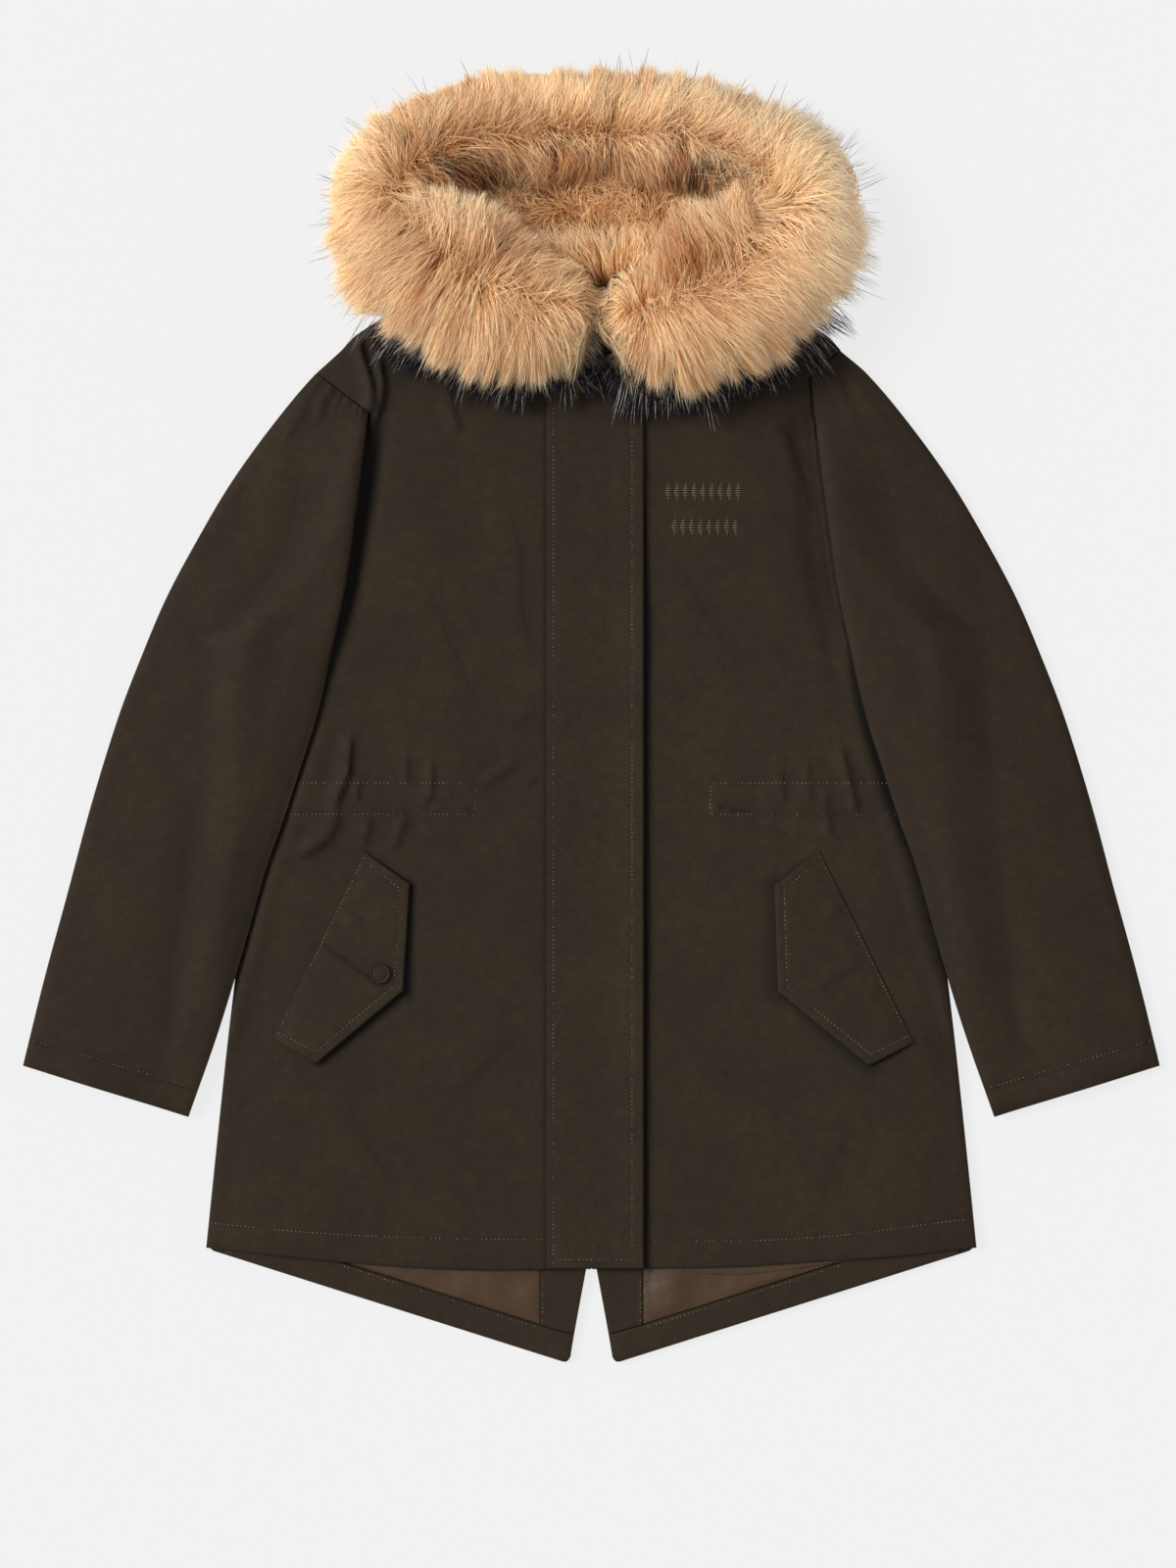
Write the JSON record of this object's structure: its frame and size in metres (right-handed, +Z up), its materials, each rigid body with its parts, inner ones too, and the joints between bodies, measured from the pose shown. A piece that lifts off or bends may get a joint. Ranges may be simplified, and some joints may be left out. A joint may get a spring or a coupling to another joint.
{
  "type": "fur trimmed parka",
  "caption": "Hooded padded cotton parka laid flat, with fur trimmed and fur lined hood, storm flap, gathered waist, slanted pocket flaps and a drop tail with a centre vent.",
  "frame": {"origin": "on the surface that the coat lies on, below the middle of its box", "axes": "+Y from the tail to the hood, +X to the wearer's left, +Z up from the surface"},
  "size_m": [0.912, 1.0406, 0.0906],
  "materials": {
    "shell_cotton": "dark olive brown cotton, waxed looking and matte",
    "facing_cotton": "the same cotton, seen from inside",
    "lining_satin": "brown polyester taffeta with a soft sheen",
    "fur": "long pile faux fur, honey with dark tips",
    "snap_metal": "cap lacquered to match the cloth"
  },
  "bodies": {
    "root": {"back": "shell_cotton", "front_right": "shell_cotton", "front_left": "shell_cotton", "placket": "shell_cotton", "top_sleeve_right": "shell_cotton", "under_sleeve_right": "shell_cotton", "top_sleeve_left": "shell_cotton", "under_sleeve_left": "shell_cotton", "pocket_flap_right": "shell_cotton", "pocket_flap_left": "shell_cotton", "snap_cap": "snap_metal", "tail_facing_right": "facing_cotton", "tail_facing_left": "facing_cotton", "vent_facing_right": "facing_cotton", "vent_facing_left": "facing_cotton", "lining_right": "lining_satin", "lining_left": "lining_satin", "hood": "shell_cotton", "hood_lining": "fur", "fur_trim": "fur"}
  },
  "joints": []
}
